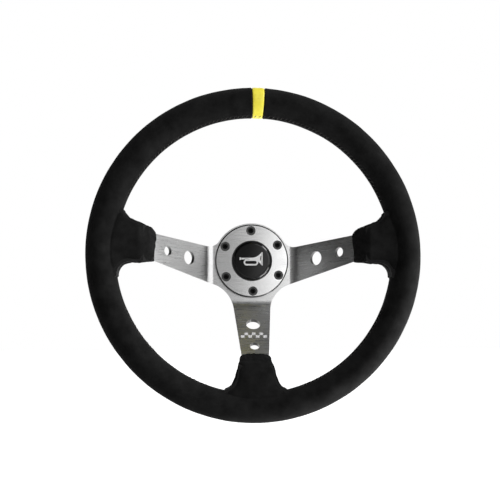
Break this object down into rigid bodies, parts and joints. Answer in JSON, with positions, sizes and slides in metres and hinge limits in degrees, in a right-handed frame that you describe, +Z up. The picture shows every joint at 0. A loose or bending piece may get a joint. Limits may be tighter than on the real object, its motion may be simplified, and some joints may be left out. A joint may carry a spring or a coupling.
{
  "type": "quick release steering wheel",
  "caption": "Deep-dish racing steering wheel: stitched black suede rim, drilled brushed spokes and horn button, on a ball-lock quick release that leaves a splined hub on the column.",
  "frame": {"origin": "centre of the column hub's rear face, on the steering axis", "axes": "+Y along the column, away from the driver; -Y towards the driver; +X to the driver's right; +Z up with the yellow marker at the top"},
  "size_m": [0.35, 0.1348, 0.35],
  "materials": {
    "hub_steel": "machined, oiled",
    "insulator": "natural nylon",
    "brass_contact": "turned",
    "terminal_steel": "zinc plated",
    "coupler_alloy": "black anodised, satin",
    "ball_steel": "polished bearing steel",
    "collar_alloy": "black anodised, satin",
    "spring_steel": "drawn wire",
    "horn_plastic": "gloss",
    "horn_gloss": "high gloss",
    "emblem_gloss": "high gloss with a white symbol",
    "ring_alloy": "brushed, satin anodised",
    "black_steel": "black oxide",
    "plate_alloy": "brushed across, satin anodised",
    "frame_steel": "primer",
    "rivet_alloy": "plain",
    "foam": "moulded polyurethane foam",
    "black_suede": "black suede, hand stitched",
    "yellow_leather": "smooth yellow leather"
  },
  "bodies": {
    "column": {"column_hub": "hub_steel", "contact_insulator": "insulator", "contact_disc": "brass_contact", "terminal_nut": "terminal_steel"},
    "wheel": {"coupler_body": "coupler_alloy", "spoke_plate": "plate_alloy", "horn_ring": "ring_alloy", "ring_bolts": "black_steel", "rim_frame": "frame_steel", "spoke_rivets": "rivet_alloy", "foam_grip": "foam", "suede_cover": "black_suede", "centre_marker": "yellow_leather", "horn_cup": "horn_plastic", "live_contact": "brass_contact", "horn_spring": "spring_steel", "pin_bush": "insulator", "pin_spring": "spring_steel", "collar_spring": "spring_steel", "stop_washer": "hub_steel", "collar_circlip": "spring_steel"},
    "collar": {"release_collar": "collar_alloy"},
    "horn": {"horn_cap": "horn_gloss", "emblem_disc": "emblem_gloss", "moving_contact": "brass_contact"},
    "pin": {"contact_pin": "brass_contact"},
    "ball_1": {"lock_ball_1": "ball_steel"},
    "ball_2": {"lock_ball_2": "ball_steel"},
    "ball_3": {"lock_ball_3": "ball_steel"},
    "ball_4": {"lock_ball_4": "ball_steel"},
    "ball_5": {"lock_ball_5": "ball_steel"},
    "ball_6": {"lock_ball_6": "ball_steel"}
  },
  "joints": [
    {"name": "wheel_release", "type": "slide", "parent": "column", "child": "wheel", "axis": [0, -1, 0], "range_m": [0, 0.06]},
    {"name": "collar_slide", "type": "slide", "parent": "wheel", "child": "collar", "axis": [0, -1, 0], "range_m": [0, 0.005], "stiffness_N_per_m": 3000, "springref_m": -0.003, "deforming": ["collar_spring"]},
    {"name": "ball_1_slide", "type": "slide", "parent": "wheel", "child": "ball_1", "axis": [1, 0, 0], "range_m": [0, 0.0018]},
    {"name": "ball_2_slide", "type": "slide", "parent": "wheel", "child": "ball_2", "axis": [0.5, 0, 0.866], "range_m": [0, 0.0018]},
    {"name": "ball_3_slide", "type": "slide", "parent": "wheel", "child": "ball_3", "axis": [-0.5, 0, 0.866], "range_m": [0, 0.0018]},
    {"name": "ball_4_slide", "type": "slide", "parent": "wheel", "child": "ball_4", "axis": [-1, 0, 0], "range_m": [0, 0.0018]},
    {"name": "ball_5_slide", "type": "slide", "parent": "wheel", "child": "ball_5", "axis": [-0.5, 0, -0.866], "range_m": [0, 0.0018]},
    {"name": "ball_6_slide", "type": "slide", "parent": "wheel", "child": "ball_6", "axis": [0.5, 0, -0.866], "range_m": [0, 0.0018]},
    {"name": "horn_press", "type": "slide", "parent": "wheel", "child": "horn", "axis": [0, 1, 0], "range_m": [0, 0.0015], "stiffness_N_per_m": 1500, "springref_m": -0.002, "deforming": ["horn_spring"]},
    {"name": "contact_pin_slide", "type": "slide", "parent": "wheel", "child": "pin", "axis": [0, -1, 0], "range_m": [0, 0.0015], "stiffness_N_per_m": 400, "springref_m": -0.001, "deforming": ["pin_spring"]}
  ],
  "couplings": [
    {"joint": "ball_1_slide", "follows": "collar_slide", "ratio": 0.36},
    {"joint": "ball_2_slide", "follows": "collar_slide", "ratio": 0.36},
    {"joint": "ball_3_slide", "follows": "collar_slide", "ratio": 0.36},
    {"joint": "ball_4_slide", "follows": "collar_slide", "ratio": 0.36},
    {"joint": "ball_5_slide", "follows": "collar_slide", "ratio": 0.36},
    {"joint": "ball_6_slide", "follows": "collar_slide", "ratio": 0.36}
  ]
}
